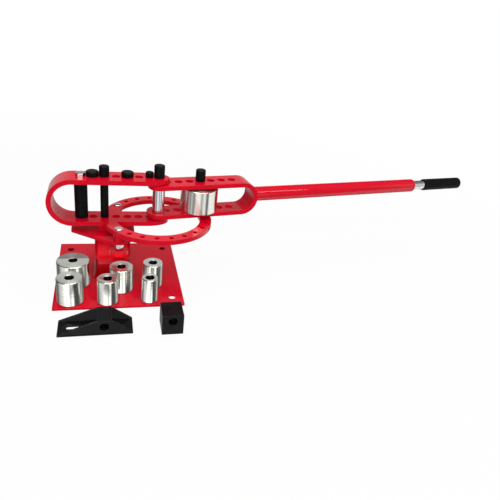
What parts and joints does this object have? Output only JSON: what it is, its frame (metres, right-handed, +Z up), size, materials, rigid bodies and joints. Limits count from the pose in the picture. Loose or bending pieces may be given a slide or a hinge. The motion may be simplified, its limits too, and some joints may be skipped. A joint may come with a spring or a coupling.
{
  "type": "bench bender",
  "caption": "Hand-operated bench bender: a swing arm with a forming roller turns about a pin in a fixed bar frame on a post, with an angle ring and a set of loose dies.",
  "frame": {"origin": "centre of the base plate's underside, on the bench", "axes": "+X along the fixed frame from its closed end towards the handle, +Y away from the operator's side where the loose dies stand, +Z up"},
  "size_m": [1.0378, 0.3926, 0.2419],
  "materials": {
    "red_paint": "gloss red enamel on steel",
    "black_steel": "black oxide, satin",
    "zinc": "bright zinc plate",
    "turned_steel": "turned and polished",
    "polished_steel": "mirror polish",
    "grip_rubber": "smooth satin"
  },
  "bodies": {
    "stand": {"base_plate": "red_paint", "post": "red_paint", "post_foot_weld": "red_paint", "post_head_weld": "red_paint", "post_eye": "red_paint", "head_plate": "red_paint", "head_block": "red_paint", "frame_bar": "red_paint", "frame_spacer": "black_steel", "spacer_bolt": "zinc", "spacer_nut": "black_steel", "angle_ring": "red_paint", "ring_spacers": "red_paint", "ring_bolts": "zinc", "ring_nuts": "zinc", "pivot_washer": "red_paint"},
    "arm": {"arm_bar": "red_paint", "handle_tube": "red_paint", "handle_weld": "red_paint", "handle_collar": "red_paint"},
    "extension": {"extension_tube": "zinc", "extension_bush": "zinc", "grip": "grip_rubber"},
    "centre_pin": {"centre_pin": "black_steel"},
    "stop_pin": {"stop_pin": "black_steel"},
    "roller_pin": {"roller_pin": "black_steel"},
    "stop_screw": {"stop_screw": "black_steel"},
    "short_pin_right": {"short_pin_right": "black_steel"},
    "short_pin_left": {"short_pin_left": "black_steel"},
    "centre_die": {"centre_die": "polished_steel"},
    "roller_die": {"roller_die": "turned_steel"},
    "die_64": {"die_64": "turned_steel"},
    "die_49": {"die_49": "turned_steel"},
    "die_46": {"die_46": "turned_steel"},
    "die_40": {"die_40": "turned_steel"},
    "die_39": {"die_39": "turned_steel"},
    "die_31": {"die_31": "turned_steel"},
    "strap_die": {"strap_die": "black_steel"},
    "block_die": {"block_die": "black_steel"}
  },
  "joints": [
    {"name": "arm_swing", "type": "hinge", "parent": "stand", "child": "arm", "pos_m": [0.0803, 0.0136, 0.1687], "axis": [0, 0, 1], "range_deg": [-130, 110]},
    {"name": "handle_extend", "type": "slide", "parent": "arm", "child": "extension", "axis": [0.9851, 0.1719, 0], "range_m": [-0.034, 0.22]},
    {"name": "centre_die_spin", "type": "hinge", "parent": "stand", "child": "centre_die", "pos_m": [0.0803, 0.0136, 0.1675], "axis": [0, 0, 1], "continuous": true},
    {"name": "roller_spin", "type": "hinge", "parent": "arm", "child": "roller_die", "pos_m": [0.16719, 0.02876, 0.1675], "axis": [0, 0, 1], "continuous": true},
    {"name": "centre_pin_pull", "type": "slide", "parent": "stand", "child": "centre_pin", "axis": [0, 0, 1], "range_m": [0, 0.1]},
    {"name": "stop_pin_pull", "type": "slide", "parent": "stand", "child": "stop_pin", "axis": [0, 0, 1], "range_m": [0, 0.1]},
    {"name": "roller_pin_pull", "type": "slide", "parent": "arm", "child": "roller_pin", "axis": [0, 0, 1], "range_m": [0, 0.08]},
    {"name": "stop_screw_pull", "type": "slide", "parent": "stand", "child": "stop_screw", "axis": [0, 0, 1], "range_m": [0, 0.02]},
    {"name": "short_pin_right_pull", "type": "slide", "parent": "stand", "child": "short_pin_right", "axis": [0, 0, 1], "range_m": [0, 0.03]},
    {"name": "short_pin_left_pull", "type": "slide", "parent": "stand", "child": "short_pin_left", "axis": [0, 0, 1], "range_m": [0, 0.03]},
    {"name": "die_64_lift", "type": "slide", "parent": "stand", "child": "die_64", "axis": [0, 0, 1], "range_m": [0, 0.04]},
    {"name": "die_49_lift", "type": "slide", "parent": "stand", "child": "die_49", "axis": [0, 0, 1], "range_m": [0, 0.06]},
    {"name": "die_46_lift", "type": "slide", "parent": "stand", "child": "die_46", "axis": [0, 0, 1], "range_m": [0, 0.012]},
    {"name": "die_40_lift", "type": "slide", "parent": "stand", "child": "die_40", "axis": [0, 0, 1], "range_m": [0, 0.05]},
    {"name": "die_39_lift", "type": "slide", "parent": "stand", "child": "die_39", "axis": [0, 0, 1], "range_m": [0, 0.06]},
    {"name": "die_31_lift", "type": "slide", "parent": "stand", "child": "die_31", "axis": [0, 0, 1], "range_m": [0, 0.06]},
    {"name": "strap_die_lift", "type": "slide", "parent": "stand", "child": "strap_die", "axis": [0, 0, 1], "range_m": [0, 0.1]},
    {"name": "block_die_lift", "type": "slide", "parent": "stand", "child": "block_die", "axis": [0, 0, 1], "range_m": [0, 0.1]}
  ]
}
